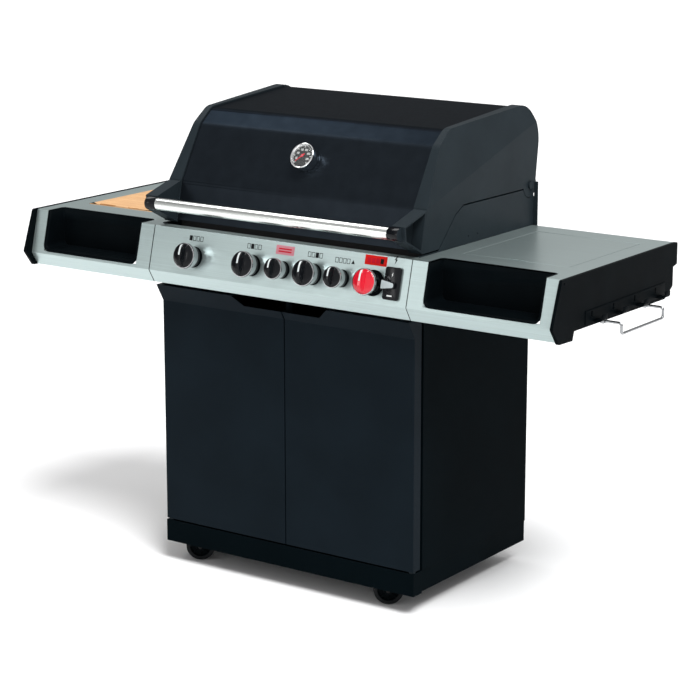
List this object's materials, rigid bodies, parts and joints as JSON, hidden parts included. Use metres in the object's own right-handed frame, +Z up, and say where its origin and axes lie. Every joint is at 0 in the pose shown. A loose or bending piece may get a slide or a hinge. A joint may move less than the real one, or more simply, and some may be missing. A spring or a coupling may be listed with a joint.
{
  "type": "gas barbecue grill",
  "caption": "Gas barbecue grill on a two-door cabinet, with a hinged enamel lid, burner knobs, side burner, cutting board, storage trays and swivel casters.",
  "frame": {"origin": "on the floor, in the middle of the base of the whole grill's box", "axes": "+Z up, -Y towards the user at the front with the knobs and doors, +X towards the side burner, at the user's right"},
  "size_m": [1.6072, 0.6456, 1.1797],
  "materials": {
    "cabinet_black": "fine satin powder coat, near black",
    "door_black": "smooth satin powder coat, near black",
    "zinc": "zinc-plated steel and die-cast alloy",
    "firebox_steel": "dark heat-proof coat on sheet steel",
    "cast_grey": "matt charcoal paint on die-cast aluminium",
    "stainless": "brushed along X",
    "cast_iron": "matt enamelled cast iron",
    "black_plastic": "fine-grained moulded plastic",
    "gloss_black": "gloss moulded plastic",
    "gloss_red": "gloss moulded plastic",
    "brass": "machined",
    "wood": "light oiled hardwood",
    "lid_enamel": "gloss vitreous enamel, near black",
    "chrome": "polished",
    "needle_red": "painted sheet",
    "wheel_rubber": "moulded"
  },
  "bodies": {
    "frame": {"base_pan": "cabinet_black", "cabinet_side_left": "cabinet_black", "cabinet_side_right": "cabinet_black", "cabinet_back": "cabinet_black", "hinge_pins": "zinc", "caster_plates": "zinc", "firebox_tub": "firebox_steel", "firebox_side_left": "cast_grey", "firebox_side_right": "cast_grey", "rear_shield": "cabinet_black", "main_burners": "stainless", "flame_tamers": "firebox_steel", "cooking_grates": "cast_iron", "warming_rack": "stainless", "drip_rails": "zinc", "control_panel": "stainless", "gas_manifold": "zinc", "panel_trim": "black_plastic", "shelf_left": "stainless", "shelf_right": "stainless", "end_cap_left": "black_plastic", "end_cap_right": "black_plastic", "tray_left": "black_plastic", "tray_right": "black_plastic", "hook_rail": "black_plastic", "towel_bar": "stainless", "side_burner_bowl": "firebox_steel", "side_burner": "cast_iron"},
    "lid": {"lid_shell": "lid_enamel", "lid_side_left": "cast_grey", "lid_side_right": "cast_grey", "lid_handle": "stainless", "thermometer": "chrome"},
    "needle": {"thermometer_needle": "needle_red"},
    "door_left": {"door_left": "door_black"},
    "door_right": {"door_right": "door_black"},
    "drip_tray": {"drip_tray": "zinc"},
    "board": {"cutting_board": "wood"},
    "burner_cover": {"side_burner_cover": "stainless"},
    "turbo_lever": {"turbo_lever": "black_plastic"},
    "stem_1": {"valve_stem_1": "brass"},
    "knob_1": {"knob_1": "gloss_black"},
    "stem_2": {"valve_stem_2": "brass"},
    "knob_2": {"knob_2": "gloss_black"},
    "stem_3": {"valve_stem_3": "brass"},
    "knob_3": {"knob_3": "gloss_black"},
    "stem_4": {"valve_stem_4": "brass"},
    "knob_4": {"knob_4": "gloss_black"},
    "stem_5": {"valve_stem_5": "brass"},
    "knob_5": {"knob_5": "gloss_black"},
    "stem_6": {"valve_stem_6": "brass"},
    "knob_6": {"knob_6": "gloss_red"},
    "caster_fork_front_left": {"caster_fork_front_left": "black_plastic"},
    "caster_wheel_front_left": {"caster_wheel_front_left": "wheel_rubber"},
    "caster_fork_front_right": {"caster_fork_front_right": "black_plastic"},
    "caster_wheel_front_right": {"caster_wheel_front_right": "wheel_rubber"},
    "caster_fork_rear_left": {"caster_fork_rear_left": "black_plastic"},
    "caster_wheel_rear_left": {"caster_wheel_rear_left": "wheel_rubber"},
    "caster_fork_rear_right": {"caster_fork_rear_right": "black_plastic"},
    "caster_wheel_rear_right": {"caster_wheel_rear_right": "wheel_rubber"}
  },
  "joints": [
    {"name": "lid_hinge", "type": "hinge", "parent": "frame", "child": "lid", "pos_m": [-0.0176, 0.28295, 0.98], "axis": [-1, 0, 0], "range_deg": [0, 72]},
    {"name": "needle_turn", "type": "hinge", "parent": "lid", "child": "needle", "pos_m": [-0.0096, -0.13523, 1.064], "axis": [0, -0.8642, 0.5031], "range_deg": [-270, 0]},
    {"name": "door_right_hinge", "type": "hinge", "parent": "frame", "child": "door_right", "pos_m": [0.3519, -0.21105, 0.4], "axis": [0, 0, 1], "range_deg": [0, 105]},
    {"name": "door_left_hinge", "type": "hinge", "parent": "frame", "child": "door_left", "pos_m": [-0.3871, -0.21105, 0.4], "axis": [0, 0, -1], "range_deg": [0, 105]},
    {"name": "knob_1_turn", "type": "hinge", "parent": "frame", "child": "stem_1", "pos_m": [-0.2666, -0.25549, 0.814], "axis": [0, -0.9686, 0.2488], "range_deg": [0, 180]},
    {"name": "knob_1_push", "type": "slide", "parent": "stem_1", "child": "knob_1", "axis": [0, 0.9686, -0.2488], "range_m": [0, 0.003], "stiffness_N_per_m": 800},
    {"name": "knob_2_turn", "type": "hinge", "parent": "frame", "child": "stem_2", "pos_m": [-0.0876, -0.25549, 0.814], "axis": [0, -0.9686, 0.2488], "range_deg": [0, 180]},
    {"name": "knob_2_push", "type": "slide", "parent": "stem_2", "child": "knob_2", "axis": [0, 0.9686, -0.2488], "range_m": [0, 0.003], "stiffness_N_per_m": 800},
    {"name": "knob_3_turn", "type": "hinge", "parent": "frame", "child": "stem_3", "pos_m": [0.0044, -0.25549, 0.814], "axis": [0, -0.9686, 0.2488], "range_deg": [0, 180]},
    {"name": "knob_3_push", "type": "slide", "parent": "stem_3", "child": "knob_3", "axis": [0, 0.9686, -0.2488], "range_m": [0, 0.003], "stiffness_N_per_m": 800},
    {"name": "knob_4_turn", "type": "hinge", "parent": "frame", "child": "stem_4", "pos_m": [0.0934, -0.25549, 0.814], "axis": [0, -0.9686, 0.2488], "range_deg": [0, 180]},
    {"name": "knob_4_push", "type": "slide", "parent": "stem_4", "child": "knob_4", "axis": [0, 0.9686, -0.2488], "range_m": [0, 0.003], "stiffness_N_per_m": 800},
    {"name": "knob_5_turn", "type": "hinge", "parent": "frame", "child": "stem_5", "pos_m": [0.1774, -0.25549, 0.814], "axis": [0, -0.9686, 0.2488], "range_deg": [0, 180]},
    {"name": "knob_5_push", "type": "slide", "parent": "stem_5", "child": "knob_5", "axis": [0, 0.9686, -0.2488], "range_m": [0, 0.003], "stiffness_N_per_m": 800},
    {"name": "knob_6_turn", "type": "hinge", "parent": "frame", "child": "stem_6", "pos_m": [0.2674, -0.25549, 0.814], "axis": [0, -0.9686, 0.2488], "range_deg": [0, 180]},
    {"name": "knob_6_push", "type": "slide", "parent": "stem_6", "child": "knob_6", "axis": [0, 0.9686, -0.2488], "range_m": [0, 0.003], "stiffness_N_per_m": 800},
    {"name": "turbo_lever_turn", "type": "hinge", "parent": "frame", "child": "turbo_lever", "pos_m": [0.2674, -0.25549, 0.814], "axis": [0, -0.9686, 0.2488], "range_deg": [-14, 14]},
    {"name": "burner_cover_hinge", "type": "hinge", "parent": "frame", "child": "burner_cover", "pos_m": [0.5629, 0.22195, 0.8725], "axis": [-1, 0, 0], "range_deg": [0, 95]},
    {"name": "board_lift", "type": "slide", "parent": "frame", "child": "board", "axis": [0, 0, 1], "range_m": [0, 0.12]},
    {"name": "drip_tray_slide", "type": "slide", "parent": "frame", "child": "drip_tray", "axis": [0, 1, 0], "range_m": [0, 0.38]},
    {"name": "caster_swivel_front_left", "type": "hinge", "parent": "frame", "child": "caster_fork_front_left", "pos_m": [-0.3096, -0.16105, 0.09], "axis": [0, 0, 1], "continuous": true},
    {"name": "caster_roll_front_left", "type": "hinge", "parent": "caster_fork_front_left", "child": "caster_wheel_front_left", "pos_m": [-0.32656, -0.17165, 0.0375], "axis": [-0.5299, 0.848, 0], "continuous": true},
    {"name": "caster_swivel_front_right", "type": "hinge", "parent": "frame", "child": "caster_fork_front_right", "pos_m": [0.2744, -0.16105, 0.09], "axis": [0, 0, 1], "continuous": true},
    {"name": "caster_roll_front_right", "type": "hinge", "parent": "caster_fork_front_right", "child": "caster_wheel_front_right", "pos_m": [0.25744, -0.17165, 0.0375], "axis": [-0.5299, 0.848, 0], "continuous": true},
    {"name": "caster_swivel_rear_left", "type": "hinge", "parent": "frame", "child": "caster_fork_rear_left", "pos_m": [-0.3096, 0.23595, 0.09], "axis": [0, 0, 1], "continuous": true},
    {"name": "caster_roll_rear_left", "type": "hinge", "parent": "caster_fork_rear_left", "child": "caster_wheel_rear_left", "pos_m": [-0.32656, 0.22535, 0.0375], "axis": [-0.5299, 0.848, 0], "continuous": true},
    {"name": "caster_swivel_rear_right", "type": "hinge", "parent": "frame", "child": "caster_fork_rear_right", "pos_m": [0.2744, 0.23595, 0.09], "axis": [0, 0, 1], "continuous": true},
    {"name": "caster_roll_rear_right", "type": "hinge", "parent": "caster_fork_rear_right", "child": "caster_wheel_rear_right", "pos_m": [0.25744, 0.22535, 0.0375], "axis": [-0.5299, 0.848, 0], "continuous": true}
  ]
}
